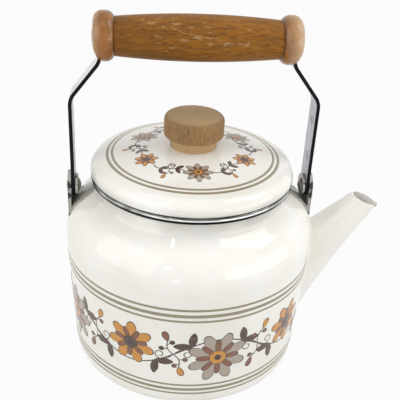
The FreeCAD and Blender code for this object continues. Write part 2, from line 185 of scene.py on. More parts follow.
def mottle(tree, coords, size, low, high, stretch=(1.0, 1.0, 1.0), detail=3.0):
    """Patches about size mm across, drawn out along an axis by its stretch: noise cut by a smooth step."""
    scale = tuple(1.0 / (size * MM * part) for part in stretch)
    drawn = node(tree, "Mapping", {"Vector": coords, "Scale": scale})
    cloud = node(tree, "TexNoise", {"Vector": drawn, "Scale": 1.0, "Detail": detail})
    return node(tree, "MapRange", {"Value": cloud, "From Min": low, "From Max": high},
                interpolation_type="SMOOTHSTEP")


def chip_mask(tree, coords, spots):
    """One inside ragged round spots, each a point and a radius in mm, and zero elsewhere."""
    ragged = mottle(tree, coords, 1.6, 0.2, 0.8)
    mask = 0.0
    for point, radius in spots:
        place, reach = tuple(part * MM for part in point), radius * MM
        distance = node(tree, "VectorMath", {0: coords, 1: place}, out="Value", operation="DISTANCE")
        edge = node(tree, "Math", {0: ragged, 1: -0.9 * reach, 2: distance}, operation="MULTIPLY_ADD")
        spot = node(tree, "MapRange", {"Value": edge, "From Min": 0.5 * reach, "From Max": 0.2 * reach})
        mask = node(tree, "Math", {0: mask, 1: spot}, operation="MAXIMUM")
    return mask


def layered(tree, base, layers):
    """Colour under layers, each a mask, the share that it covers at most, and a colour or another stack."""
    for mask, share, tint in layers:
        cover = node(tree, "Math", {0: mask, 1: share}, operation="MULTIPLY")
        base = node(tree, "Mix", {0: cover, 6: base, 7: tint}, out=2, data_type="RGBA")
    return base


def vitreous_enamel(name, tints, coats, spots, grime_and_shade=None):
    """Fired glass on steel: a wet gloss, a faint orange-peel wave, a second cast in places, black chips.

    Near the band it greys unevenly, painted shade for the dark band and lid that it mirrors: the last
    argument holds two heights in mm, a start and an end, and a share.
    """
    material, tree, coords = blank_material(name)
    ground, shade = coats
    layers = [(mottle(tree, coords, 45.0, 0.35, 0.75), 1.0, shade)]
    # Painted shade: grey patches near the band, where the glaze mirrors the dark band, lid and room
    if grime_and_shade is not None:
        start, end, share = grime_and_shade
        height = node(tree, "SeparateXYZ", {0: coords}, out="Z")
        near = node(tree, "MapRange", {"Value": height, "From Min": start * MM, "From Max": end * MM},
                    interpolation_type="SMOOTHSTEP")
        patches = mottle(tree, coords, 38.0, 0.25, 0.6)
        dull = node(tree, "Math", {0: near, 1: patches}, operation="MULTIPLY")
        layers.append((dull, share, tints.grime_and_shade))
    chips = chip_mask(tree, coords, spots)
    base = layered(tree, ground, [*layers, (chips, 1.0, tints.chip)])
    gloss = node(tree, "MapRange",
                 {"Value": mottle(tree, coords, 18.0, 0.2, 0.8), "To Min": 0.03, "To Max": 0.07})
    gloss = node(tree, "Math", {0: chips, 1: 0.5, 2: gloss}, operation="MULTIPLY_ADD")
    peel = node(tree, "Math", {0: chips, 1: -6.0, 2: mottle(tree, coords, 6.0, 0.2, 0.8)},
                operation="MULTIPLY_ADD")
    wave = node(tree, "Bump", {"Height": peel, "Distance": 0.02 * MM})
    shader = node(tree, "BsdfPrincipled",
                  {"Base Color": base, "Roughness": gloss, "IOR": 1.52, "Normal": wave})
    node(tree, "OutputMaterial", {"Surface": shader})
    return material


def screen_print(name, tint):
    """Ceramic ink fired into the glaze: the same gloss, a little uneven in its cover."""
    material, tree, coords = blank_material(name)
    thin = tuple(part * 0.86 + 0.06 for part in tint)
    cover = mottle(tree, coords, 1.8, 0.3, 0.8, detail=4.0)
    base = layered(tree, tint, [(cover, 1.0, thin)])
    shader = node(tree, "BsdfPrincipled", {"Base Color": base, "Roughness": 0.14, "IOR": 1.52})
    node(tree, "OutputMaterial", {"Surface": shader})
    return material


def polished_steel():
    """Rolled stainless band: a bright ridge and fine lines along it; grey patches, a grey hatched top and a
    nearly black lower fold are painted reflection and shade.
    """
    material, tree, coords = blank_material("polished stainless band")
    height = node(tree, "SeparateXYZ", {0: coords}, out="Z")
    lines = mottle(tree, coords, 0.3, 0.3, 0.7, stretch=(20.0, 20.0, 1.0))
    # Painted reflection: grey patches where the polished band mirrors a darker room; they also set the
    # roughness
    spots = mottle(tree, coords, 24.0, 0.45, 0.66, detail=4.0)
    # Painted shade: a grey hatched top where the lid overhangs the band, and a nearly black line along its
    # lower fold
    shaded_top = node(tree, "MapRange",
                {"Value": height, "From Min": (BAND_TOP - 1.22) * MM, "From Max": (BAND_TOP - 1.08) * MM})
    under = node(tree, "MapRange",
                 {"Value": height, "From Min": (BAND_LOW + 2.5) * MM, "From Max": (BAND_LOW + 2.2) * MM})
    hatch = layered(tree, linear("#8A8A88"), [(lines, 1.0, linear("#4A4A49"))])
    base = layered(tree, linear("#F0F0EE"), [
        (spots, 1.0, linear("#7A7977")), (shaded_top, 1.0, hatch), (under, 1.0, linear("#1A1A1B"))])
    gloss = node(tree, "MapRange", {"Value": spots, "To Min": 0.12, "To Max": 0.26})
    scratch = node(tree, "Bump", {"Height": lines, "Distance": 0.006 * MM})
    shader = node(tree, "BsdfPrincipled",
                  {"Base Color": base, "Metallic": 1.0, "Roughness": gloss, "Normal": scratch})
    node(tree, "OutputMaterial", {"Surface": shader})
    return material


def plated_strap():
    """Nickel-plated strip: a bright outer face, a soft grey inner one, and sheared edges nearly black."""
    material, tree, coords = blank_material("plated steel strip")
    normal = node(tree, "TexCoord", out="Normal")
    across = node(tree, "SeparateXYZ", {0: normal}, out="Y")
    across = node(tree, "Math", {0: across}, operation="ABSOLUTE")
    edge = node(tree, "MapRange", {"Value": across, "From Min": 0.55, "From Max": 0.8})
    facing, place = [node(tree, "SeparateXYZ", {0: vector}, out="X") for vector in (normal, coords)]
    outward = node(tree, "Math", {0: facing, 1: place}, operation="MULTIPLY")
    outward = node(tree, "Math", {0: outward, 1: 0.0}, operation="GREATER_THAN")
    rolled = mottle(tree, coords, 0.7, 0.2, 0.8, stretch=(1.0, 1.0, 18.0))
    stain = mottle(tree, coords, 9.0, 0.5, 0.75, detail=5.0)
    inner = layered(tree, linear("#C2C1CA"), [
        (rolled, 1.0, linear("#9C9BA5")), (stain, 0.4, linear("#6A6866"))])
    outer = layered(tree, linear("#E2E2E6"), [
        (rolled, 1.0, linear("#C2C2C8")), (stain, 0.25, linear("#8E8C8C"))])
    base = layered(tree, inner, [(outward, 1.0, outer), (edge, 1.0, linear("#19181C"))])
    gloss = node(tree, "MapRange", {"Value": stain, "To Min": 0.3, "To Max": 0.48})
    gloss = node(tree, "Math", {0: outward, 1: -0.2, 2: gloss}, operation="MULTIPLY_ADD")
    scratch = node(tree, "Bump", {"Height": rolled, "Distance": 0.012 * MM})
    shader = node(tree, "BsdfPrincipled",
                  {"Base Color": base, "Metallic": 0.9, "Roughness": gloss, "Normal": scratch})
    node(tree, "OutputMaterial", {"Surface": shader})
    return material


def dull_steel():
    """Zinc-plated rivets and washers: grey, mottled, with brown grime in patches."""
    material, tree, coords = blank_material("dull zinc plate")
    grime_and_shade = mottle(tree, coords, 1.8, 0.5, 0.74, detail=5.0)
    base = layered(tree, linear("#B4B2AB"), [(grime_and_shade, 1.0, linear("#3B342C"))])
    gloss = node(tree, "MapRange", {"Value": grime_and_shade, "To Min": 0.28, "To Max": 0.6})
    pits = node(tree, "Bump", {"Height": grime_and_shade, "Distance": 0.04 * MM})
    shader = node(tree, "BsdfPrincipled",
                  {"Base Color": base, "Metallic": 0.85, "Roughness": gloss, "Normal": pits})
    node(tree, "OutputMaterial", {"Surface": shader})
    return material


def grip_scuffs(tree, coords, along):
    """Bare spots where fingers rub the grip, and one wavering scratch that runs down across them."""
    worn = chip_mask(tree, coords, [((-21.0, -12.0, GRIP_HEIGHT + 6.0), 15.0),
                                    ((-2.0, -13.0, GRIP_HEIGHT + 3.0), 17.0),
                                    ((19.0, -12.5, GRIP_HEIGHT + 5.0), 12.0)])
    scuffs = mottle(tree, coords, 2.4, 0.58, 0.7, stretch=(3.0, 1.0, 1.0), detail=8.0)
    height = node(tree, "SeparateXYZ", {0: coords}, out="Z")
    stray = node(tree, "Math", {0: along, 1: 0.19, 2: height}, operation="MULTIPLY_ADD")
    stray = node(tree, "Math", {0: stray, 1: (GRIP_HEIGHT + 5.6) * MM}, operation="SUBTRACT")
    stray = node(tree, "Math", {0: mottle(tree, coords, 7.0, 0.2, 0.8), 1: 2.2 * MM, 2: stray},
                 operation="MULTIPLY_ADD")
    stray = node(tree, "Math", {0: stray}, operation="ABSOLUTE")
    scratch = node(tree, "MapRange",
                   {"Value": stray, "From Min": 0.5 * MM, "From Max": 0.15 * MM, "To Max": 0.7})
    broken = mottle(tree, coords, 5.0, 0.4, 0.55, detail=5.0)
    scratch = node(tree, "Math", {0: scratch, 1: broken}, operation="MULTIPLY")
    bare = node(tree, "Math", {0: scuffs, 1: scratch}, operation="MAXIMUM")
    return node(tree, "Math", {0: bare, 1: worn}, operation="MULTIPLY")


def varnished_oak(settings):
    """Turned oak under worn varnish: short dark streaks and pores along the grip, pale scuffs in the middle.

    The wood is paler towards the spout, a painted light from the window on that side. Real pores are about
    0.3 mm wide; these are twice that, to show.
    """
    material, tree, coords = blank_material("varnished oak")
    along = node(tree, "SeparateXYZ", {0: coords}, out="X")
    # Painted light: the end towards the spout is paled where the window lights it
    window_light = node(tree, "MapRange", {"Value": along, "From Min": -BEAD_START * MM, "From Max": BEAD_START * MM,
                                   "To Min": 0.25, "To Max": -0.5})
    bands = mottle(tree, coords, 5.0, 0.3, 0.7, stretch=(12.0, 1.0, 1.0), detail=4.0)
    bands = node(tree, "Math", {0: bands, 1: window_light}, operation="ADD", use_clamp=True)
    streaks = mottle(tree, coords, 1.1, 0.42, 0.66, stretch=(9.0, 1.0, 1.0))
    pores = mottle(tree, coords, 0.6, 0.55, 0.66, stretch=(7.0, 1.0, 1.0))
    scuffs = grip_scuffs(tree, coords, along)
    tone = layered(tree, settings.grip * 1.2, [
        (bands, 1.0, settings.grip * 0.8), (streaks, 0.36, settings.grip_dark),
        (pores, 0.6, settings.grip_dark), (scuffs, 0.4, linear("#C4AA82"))])
    gloss = node(tree, "Math", {0: scuffs, 1: 0.25, 2: 0.42}, operation="MULTIPLY_ADD")
    relief = node(tree, "Math", {0: pores, 1: -1.0, 2: streaks}, operation="MULTIPLY_ADD")
    grain = node(tree, "Bump", {"Height": relief, "Distance": 0.08 * MM})
    shader = node(tree, "BsdfPrincipled",
                  {"Base Color": tone, "Roughness": gloss, "IOR": 1.3, "Normal": grain})
    node(tree, "OutputMaterial", {"Surface": shader})
    return material


def bead_oak(settings, end, width, share):
    """End bead thick with varnish: fine short pores, a dark crease at the barrel, its outer end paler.

    The width in mm is how far the paler end reaches, and the share how pale it grows.
    """
    material, tree, coords = blank_material("varnished oak bead, " + end)
    along = node(tree, "SeparateXYZ", {0: coords}, out="X")
    along = node(tree, "Math", {0: along}, operation="ABSOLUTE")
    crease = node(tree, "MapRange",
                  {"Value": along, "From Min": (BEAD_START + 1.3) * MM, "From Max": (BEAD_START + 0.1) * MM})
    paler = node(tree, "MapRange",
                  {"Value": along, "From Min": (BEAD_END - width) * MM, "From Max": (BEAD_END - 0.5) * MM})
    patches = mottle(tree, coords, 6.0, 0.35, 0.65)
    pores = mottle(tree, coords, 0.8, 0.5, 0.7, stretch=(5.0, 1.0, 1.0))
    tone = layered(tree, settings.bead, [
        (patches, 1.0, settings.bead * 0.72), (pores, 0.35, settings.grip_dark),
        (paler, share, linear("#CDAF8A")), (crease, 0.8, linear("#2E1C0C"))])
    grain = node(tree, "Bump", {"Height": pores, "Distance": -0.05 * MM})
    shader = node(tree, "BsdfPrincipled",
                  {"Base Color": tone, "Roughness": 0.1, "IOR": 1.5, "Normal": grain})
    node(tree, "OutputMaterial", {"Surface": shader})
    return material


def bare_beech(settings):
    """Turned beech with no varnish left: short upright flecks on the side, a paler foot, and a paler top that
    is painted light against the grip's shade.
    """
    material, tree, coords = blank_material("bare beech")
    flecks = mottle(tree, coords, 0.8, 0.5, 0.66, stretch=(1.0, 1.0, 7.0), detail=2.0)
    figure = mottle(tree, coords, 6.0, 0.35, 0.7, stretch=(1.0, 3.0, 3.0), detail=4.0)
    height = node(tree, "SeparateXYZ", {0: coords}, out="Z")
    foot = node(tree, "MapRange",
                {"Value": height, "From Min": (KNOB_STEP + 0.4) * MM, "From Max": (KNOB_STEP - 0.4) * MM})
    # Painted light: the top is paled to lift it out of the shade that the grip above casts on it
    top = node(tree, "MapRange",
               {"Value": height, "From Min": (KNOB_TOP - 1.6) * MM, "From Max": (KNOB_TOP - 0.4) * MM})
    paler = node(tree, "Math", {0: foot, 1: top}, operation="MAXIMUM")
    tone = layered(tree, settings.knob, [
        (figure, 1.0, settings.knob * 0.76), (flecks, 0.62, settings.knob_dark),
        (paler, 0.52, linear("#CDAE83"))])
    relief = node(tree, "Math", {0: flecks, 1: -1.0, 2: figure}, operation="MULTIPLY_ADD")
    grain = node(tree, "Bump", {"Height": relief, "Distance": 0.12 * MM})
    shader = node(tree, "BsdfPrincipled",
                  {"Base Color": tone, "Roughness": 0.6, "IOR": 1.4, "Normal": grain})
    node(tree, "OutputMaterial", {"Surface": shader})
    return material


def dress(node_name, material):
    """Give a node one material."""
    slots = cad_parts[node_name].data.materials
    slots.clear()
    slots.append(material)


# Surfaces, in millimetres

CORNER = math.radians(40.0)
PRINT_LOW, PRINT_HIGH = 21.0, 68.0
PRINT_MIDDLE = (PRINT_LOW + PRINT_HIGH) / 2
PRINT_LIFT = 0.05
PRINT_STEP = 0.025
PRINT_ROOT = -0.04
PAD_STEP = 2.0
PAD_RINGS = (2, 5)
STEM_TAPER, STEM_TIP = 12.0, 0.3
OUTLINE_POINTS = 22
LEAF_BREADTH, LEAF_SPREAD = 0.44, 0.85
CURL_POINTS, CURL_TURN = 40, 7.5
INK_LINE, INK_BROWN, INK_OCHRE, INK_TAUPE, INK_LEAF = range(5)
TAUPE_DAISY = (INK_TAUPE, INK_BROWN, INK_OCHRE)
OCHRE_DAISY = (INK_OCHRE, INK_BROWN, INK_LEAF)


def new_piece(name, points, faces, materials, body, face_materials=None):
    """Mesh object from points in mm and faces, riding on a body."""
    mesh = bpy.data.meshes.new(name)
    mesh.from_pydata((points * MM).tolist(), [], [list(face) for face in faces])
    mesh.polygons.foreach_set("use_smooth", np.ones(len(mesh.polygons), dtype=bool))
    for material in materials:
        mesh.materials.append(material)
    if face_materials is not None:
        mesh.polygons.foreach_set("material_index", np.asarray(face_materials, dtype=np.int32))
    mesh.validate()
    mesh.set_sharp_from_angle(angle=CORNER)
    piece = bpy.data.objects.new(name, mesh)
    bpy.context.scene.collection.objects.link(piece)
    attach(piece, body)


def grid_faces(rows, columns):
    """Quads of a grid that closes on itself both ways, wound by column and then by row."""
    i, j = np.meshgrid(np.arange(rows), np.arange(columns), indexing="ij")
    i2, j2 = (i + 1) % rows, (j + 1) % columns
    corners = [i * columns + j, i * columns + j2, i2 * columns + j2, i2 * columns + j]
    return np.stack(corners, -1).reshape(-1, 4)


def wall_radius(height):
    """Radius of the tapered body wall: a straight line from the foot to the widest height."""
    return FOOT_RADIUS + (BODY_RADIUS - FOOT_RADIUS) * (height - FOOT_HEIGHT) / (WIDEST_HEIGHT - FOOT_HEIGHT)


def on_wall(flat, lift):
    """Point of the wall: across is arc length from the front, at the radius of the wall plus a lift."""
    across, height = flat[..., 0], flat[..., 1]
    turn = across / wall_radius(PRINT_MIDDLE) - math.pi / 2
    radius = wall_radius(height) + lift
    return np.stack([radius * np.cos(turn), radius * np.sin(turn), height], -1)


def on_dome(flat, lift):
    """Point of the lid: the plan point raised to a sphere of the dome's radius plus a lift."""
    radius = DOME_RADIUS + lift
    height = LID_TOP - DOME_RADIUS + np.sqrt(radius ** 2 - (flat ** 2).sum(-1))
    return np.concatenate([flat, height[..., None]], -1)


class Print:
    """Ink pads collected for one piece: each is a flat outline laid on a surface, with a closed underside."""

    def __init__(self, surface):
        self.surface = surface
        self.points, self.faces, self.inks = [], [], []
        self.count = 0

    def add(self, points, faces, ink):
        """Keep a block of points and the faces between them, all in one ink."""
        self.points.append(points.reshape(-1, 3))
        self.faces.append(faces + self.count)
        self.inks.append(np.full(len(faces), ink))
        self.count += len(self.points[-1])

    def pad(self, outline, ink, layer):
        """Rings from near the middle of an outline out to its edge, then two underneath, capped at both ends.

        Ring k is middle + (outline - middle) * k / rings, one for each step, so the top follows the surface.
        """
        middle = outline.mean(0)
        spread = outline - middle
        reach = np.linalg.norm(spread, axis=1).max()
        rings = int(np.clip(np.ceil(reach / PAD_STEP), *PAD_RINGS))
        top = middle + spread * (np.arange(1, rings + 1) / rings)[:, None, None]
        under = middle + spread * np.array([1.0, 0.5])[:, None, None]
        points = [self.surface(top, PRINT_LIFT + PRINT_STEP * layer), self.surface(under, PRINT_ROOT)]
        count = len(outline)
        i = np.arange(count // 2 - 1)
        cap = np.stack([i + 1, i, count - 1 - i, count - 2 - i], -1)
        sides = grid_faces(rings + 2, count)[:(rings + 1) * count]
        faces = np.concatenate([sides, cap, cap[:, ::-1] + (rings + 1) * count])
        self.add(np.concatenate(points), faces, ink)

    def stem(self, path, width, ink, layer):
        """Ribbon along an open path, tapered to its ends: path plus and minus half the width sideways."""
        along = np.gradient(path, axis=0)
        along /= np.linalg.norm(along, axis=1)[:, None]
        side = np.stack([-along[:, 1], along[:, 0]], -1)
        share = np.linspace(0.0, 1.0, len(path))
        half = (width / 2 * np.clip(np.minimum(share, 1 - share) * STEM_TAPER, STEM_TIP, 1.0))[:, None]
        left, right = path + side * half, path - side * half
        lift = PRINT_LIFT + PRINT_STEP * layer
        section = [self.surface(left, lift), self.surface(right, lift),
                   self.surface(right, PRINT_ROOT), self.surface(left, PRINT_ROOT)]
        last = (len(path) - 1) * 4
        sides = grid_faces(len(path), 4)[:last]
        caps = np.array([[3, 2, 1, 0], [last, last + 1, last + 2, last + 3]])
        self.add(np.stack(section, 1), np.concatenate([sides, caps]), ink)

    def piece(self, name, inks, body):
        """Make one mesh object of all that was collected."""
        points, faces, face_inks = [np.concatenate(blocks) for blocks in (self.points, self.faces, self.inks)]
        new_piece(name, points, faces, inks, body, face_inks)


def drop_shape(length, width):
    """Drop from a point at zero to a round end, round an angle a.

    It runs half the width * sin a * sin(a / 2)^0.7 to the side, at length * (1 - cos a) / 2.
    """
    a = np.linspace(0.0, 2 * np.pi, OUTLINE_POINTS, endpoint=False)
    side = width / 2 * np.sin(a) * np.abs(np.sin(a / 2)) ** 0.7
    return np.stack([length * (1 - np.cos(a)) / 2, side], -1)


def leaf_shape(length, width):
    """Leaf pointed at both ends: half the width * sin a * |sin a|^0.5, at length * (1 - cos a) / 2."""
    a = np.linspace(0.0, 2 * np.pi, OUTLINE_POINTS, endpoint=False)
    side = width / 2 * np.sin(a) * np.abs(np.sin(a)) ** 0.5
    return np.stack([length * (1 - np.cos(a)) / 2, side], -1)


def round_shape(radius, lobes=0, depth=0.0):
    """Circle, or a scalloped one of radius * (1 + depth * |sin(lobes a / 2)|), wound as the others are."""
    a = np.linspace(0.0, 2 * np.pi, OUTLINE_POINTS * (2 if lobes else 1), endpoint=False)
    reach = radius * (1 + depth * np.abs(np.sin(lobes * a / 2)))
    return np.stack([reach * np.cos(a), -reach * np.sin(a)], -1)


def heading(angle):
    """Direction of an angle, as a step of length one."""
    return np.array([math.cos(angle), math.sin(angle)])


def placed(shape, point, angle=0.0):
    """Shape turned by an angle and moved to a point."""
    return shape @ np.array([heading(angle), heading(angle + math.pi / 2)]) + point


def outlined(ink_print, shape, point, angle, ink, layer, width):
    """Shape with a dark outline: the same shape grown about its middle by the line width, one layer below."""
    flat = placed(shape, point, angle)
    middle = flat.mean(0)
    size = np.linalg.norm(flat - middle, axis=1).mean()
    ink_print.pad(middle + (flat - middle) * (1 + width / size), INK_LINE, layer)
    ink_print.pad(flat, ink, layer + 1)


def daisy(ink_print, point, radius, petals, tilt, inks, width):
    """Open flower of round-ended petals in two rows about a scalloped eye, sized by shares of its radius.

    A petal's breadth is a share of half the row's circle divided by the petals.
    """
    outer, inner, eye = inks
    for row, (ink, reach, breadth) in enumerate(((outer, 1.0, 1.15), (inner, 0.66, 0.9269))):
        petal = drop_shape(radius * reach * 0.92, radius * reach * breadth * math.pi / petals)
        for k in range(petals):
            angle = tilt + 2 * math.pi * (k + 0.5 * row) / petals
            start = point + radius * 0.1 * heading(angle)
            outlined(ink_print, petal, start, angle, ink, 1 + 2 * row, width)
    outlined(ink_print, round_shape(radius * 0.26, petals, 0.12), point, 0.0, eye, 5, width)
    ink_print.pad(placed(round_shape(radius * 0.12), point), INK_LINE, 7)


def leaf_pair(ink_print, point, angle, length, width):
    """Two leaves on either side of a stem."""
    leaf = leaf_shape(length, length * LEAF_BREADTH)
    for side in (1, -1):
        outlined(ink_print, leaf, point, angle + side * LEAF_SPREAD, INK_LEAF, 1, width)


def berry_spray(ink_print, point, angle, length, inks, width):
    """Bud at the end of a short curved stem, with a berry on each side, all sized by shares of its length."""
    bud_ink, berry_ink = inks
    share = np.linspace(0.0, 1.0, 12)[:, None]
    reach, side = heading(angle), heading(angle + math.pi / 2)
    path = point + length * (share * reach + 0.18 * np.sin(np.pi * share) * side)
    ink_print.stem(path, width * 1.3, INK_LINE, 0)
    outlined(ink_print, drop_shape(length * 0.62, length * 0.42), path[-1], angle, bud_ink, 1, width)
    for k, sign in ((5, 1), (8, -1)):
        end = path[k] + side * sign * length * 0.34 + reach * length * 0.1
        ink_print.stem(np.linspace(path[k], end, 6), width * 1.1, INK_LINE, 0)
        outlined(ink_print, round_shape(length * 0.11), end, 0.0, berry_ink, 1, width)


def curl(ink_print, point, angle, length, hand, width):
    """Tendril that turns ever faster: its angle gains the turn * share squared, summed step by step."""
    share = np.linspace(0.0, 1.0, CURL_POINTS)
    turn = angle + hand * CURL_TURN * share ** 2
    steps = np.stack([np.cos(turn), np.sin(turn)], -1) * length / len(share)
    ink_print.stem(point + np.cumsum(steps, 0), width * 1.2, INK_LINE, 0)


def spout_radius(along):
    """Outer radius of the spout along its axis: a circle through both ends that bows towards the axis."""
    first = np.array([SPOUT_TAIL, SPOUT_TAIL_RADIUS])
    last = np.array([SPOUT_REACH, SPOUT_REACH_RADIUS])
    chord = last - first
    half = np.linalg.norm(chord) / 2
    up = np.array([-chord[1], chord[0]]) / (2 * half)
    centre = (first + last) / 2 + up * math.sqrt(SPOUT_SWEEP_RADIUS ** 2 - half ** 2)
    return centre[1] - np.sqrt(SPOUT_SWEEP_RADIUS ** 2 - (along - centre[0]) ** 2)


def spout_point(along, turn):
    """Point of the spout: its axis plus its radius times the turned cross directions."""
    axis = np.array([math.cos(SPOUT_ELEVATION), 0.0, math.sin(SPOUT_ELEVATION)])
    cross = np.array([math.sin(SPOUT_ELEVATION), 0.0, -math.cos(SPOUT_ELEVATION)])
    side = np.array([0.0, 1.0, 0.0])
    outward = np.cos(turn)[..., None] * cross + np.sin(turn)[..., None] * side
    return SPOUT_ROOT + along[..., None] * axis + spout_radius(along)[..., None] * outward


def lip_point(turn):
    """Point of the oblique pouring lip: an ellipse, by the turn from its tip towards the front."""
    back = 1 - math.cos(turn)
    return (LIP_TIP - LIP_HALF_LENGTH * back, -LIP_HALF_WIDTH * math.sin(turn),
            LIP_TIP_HEIGHT + LIP_HALF_RISE * back)


def outside_wall(points):
    """Distance outside the body wall, shoulder included."""
    reach, height = np.hypot(points[..., 0], points[..., 1]), points[..., 2]
    centre = BODY_RADIUS - SHOULDER_RADIUS
    shoulder = np.hypot(reach - centre, height - WIDEST_HEIGHT) - SHOULDER_RADIUS
    return np.where(height > WIDEST_HEIGHT, shoulder, reach - wall_radius(height))


def on_body(points):
    """Nearest point of the wall or the shoulder, moved straight in or out from the axis."""
    reach, height = np.hypot(points[..., 0], points[..., 1]), points[..., 2]
    rise = np.clip(height - WIDEST_HEIGHT, 0.0, SHOULDER_RADIUS - 1.0)
    shoulder = BODY_RADIUS - SHOULDER_RADIUS + np.sqrt(SHOULDER_RADIUS ** 2 - rise ** 2)
    target = np.where(height > WIDEST_HEIGHT, shoulder, wall_radius(height))
    flat = points[..., :2] * (target / reach)[..., None]
    return np.concatenate([flat, points[..., 2:]], -1)


def shoulder_line(along, lift):
    """Reach and height on the shoulder, lifted off it, by length past the start of an arm.

    First the arc of the shoulder, then its tangent, then the hollow arc that turns up into the neck.
    """
    arc = SHOULDER_RADIUS * (SHOULDER_SWEEP - ARM_START)
    a = np.minimum(ARM_START + along / SHOULDER_RADIUS, SHOULDER_SWEEP)
    run = np.clip(along - arc, 0.0, SLOPE_LENGTH)[:, None]
    hollow = np.maximum(along - arc - SLOPE_LENGTH, 0.0) / NECK_FILLET
    in_hollow = (hollow > 0)[:, None]
    out = np.stack([np.cos(a), np.sin(a)], -1)
    on = np.array([-math.sin(SHOULDER_SWEEP), math.cos(SHOULDER_SWEEP)])
    up = SHOULDER_SWEEP - hollow
    turned = np.stack([np.cos(up), np.sin(up)], -1)
    line = np.array([BODY_RADIUS - SHOULDER_RADIUS, WIDEST_HEIGHT]) + SHOULDER_RADIUS * out + run * on
    line = line + NECK_FILLET * (out - turned) * in_hollow
    return line + lift * np.where(in_hollow, turned, out)


# Operators

class KETTLE_OT_enamel(bpy.types.Operator):
    """Fire the white enamel on the body, spout and lid, and the grey on the ears"""

    bl_idname = "kettle.enamel"
    bl_label = "Enamel"

    body_chips = (((-33.0, -66.0, 104.0), 0.7),)
    lid_chips = (((-20.0, -64.5, 139.0), 0.5),)
    lip_turns, lip_chip = (0.1, 0.4, 0.7, 1.0), 1.3
    elbow_chip = ((75.0, -7.8, 109.3), 1.8)
    # Painted shade: the neck under the band and the lower edge of the lid grey, where they mirror dark
    # surroundings
    neck_shade = (111.0, BAND_LOW, 0.45)
    lid_edge_shade = (LID_LOW + 7.0, LID_LOW, 0.35)

    # Distance in from the outer face, place across, height and radius of each chip on an ear
    ear_chips = ((0.0, -8.9, 102.4, 2.4), (0.0, -9.0, 117.0, 3.6), (0.0, -9.0, 123.5, 3.6),
                 (0.0, 3.0, EAR_TOP, 3.0), (0.0, 8.5, 112.0, 2.4), (6.0, 9.0, 109.0, 1.6))

    def execute(self, context):
        tints = context.scene.kettle_enamel
        white, grey = (tints.ground, tints.shade), (tints.ear, tints.ear_shade)
        body = vitreous_enamel("vitreous enamel, body", tints, white, self.body_chips, self.neck_shade)
        dress("body_shell", body)
        lid = vitreous_enamel("vitreous enamel, lid", tints, white, self.lid_chips, self.lid_edge_shade)
        dress("lid_shell", lid)
        dress("lid_collar", lid)
        lip_chips = [(lip_point(turn), self.lip_chip) for turn in self.lip_turns]
        dress("spout", vitreous_enamel("vitreous enamel, chipped lip", tints, white, lip_chips))
        for side, end, own_chips in ((1, "front", [self.elbow_chip]), (-1, "rear", [])):
            low, high = box_mm(end + "_ear")
            face = high[0] if side > 0 else low[0]
            chips = [((face - side * inset, across, height), radius)
                     for inset, across, height, radius in self.ear_chips]
            enamel = vitreous_enamel("grey enamel, chipped " + end, tints, grey, chips + own_chips)
            dress(end + "_ear", enamel)
        return {"FINISHED"}


class KETTLE_OT_ear_arms(bpy.types.Operator):
    """Carry the arm of each ear on along the shoulder to the neck"""

    bl_idname = "kettle.ear_arms"
    bl_label = "Ear arms"

    length = 12.6
    half_start, half_end = 9.2, 6.4
    lift, edge_lift, root = 1.05, 0.7, -0.9
    edge = 0.5
    rows = 25

    def execute(self, context):
        """Section of six points, narrowing along the shoulder line, closed by a cap at each end."""
        along = np.linspace(0.0, self.length, self.rows)
        half = self.half_start + (self.half_end - self.half_start) * (along / self.length) ** 1.5
        across = np.stack([-half, -half, self.edge - half, half - self.edge, half, half], 1)
        lifts = (self.root, self.edge_lift, self.lift, self.lift, self.edge_lift, self.root)
        line = np.stack([shoulder_line(along, lift) for lift in lifts], 1)
        last = (self.rows - 1) * len(lifts)
        faces = grid_faces(self.rows, len(lifts))[:last].tolist()
        faces += [list(range(len(lifts) - 1, -1, -1)), list(range(last, last + len(lifts)))]
        for side, end in ((1, "front"), (-1, "rear")):
            points = np.stack([side * line[..., 0], across, line[..., 1]], -1).reshape(-1, 3)
            wound = [face if side > 0 else face[::-1] for face in faces]
            enamel = list(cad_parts[end + "_ear"].data.materials)
            new_piece(end + "_ear_arm", points, wound, enamel, "kettle")
        return {"FINISHED"}


class KETTLE_OT_steel(bpy.types.Operator):
    """Finish the rim band, straps, rivets, washers, rod, nut and screw"""

    bl_idname = "kettle.steel"
    bl_label = "Steel"

    def execute(self, context):
        dress("rim_band", polished_steel())
        strap = plated_strap()
        zinc = dull_steel()
        for end in ("front", "rear"):
            dress(end + "_strap", strap)
            dress(end + "_pivot_rivet", zinc)
            dress(end + "_pivot_washer", zinc)
        for name in ("tie_rod", "rod_nut", "knob_screw", "knob_washer"):
            dress(name, zinc)
        return {"FINISHED"}


class KETTLE_OT_wood(bpy.types.Operator):
    """Finish the grip, its beads and the knob"""

    bl_idname = "kettle.wood"
    bl_label = "Wood"

    # Reach in mm and share of the paler end on each bead
    pale_ends = {"front": (11.0, 0.85), "rear": (4.5, 0.4)}

    def execute(self, context):
        settings = context.scene.kettle_wood
        dress("grip", varnished_oak(settings))
        for end, (width, share) in self.pale_ends.items():
            dress(end + "_grip_bead", bead_oak(settings, end, width, share))
        dress("knob", bare_beech(settings))
        return {"FINISHED"}


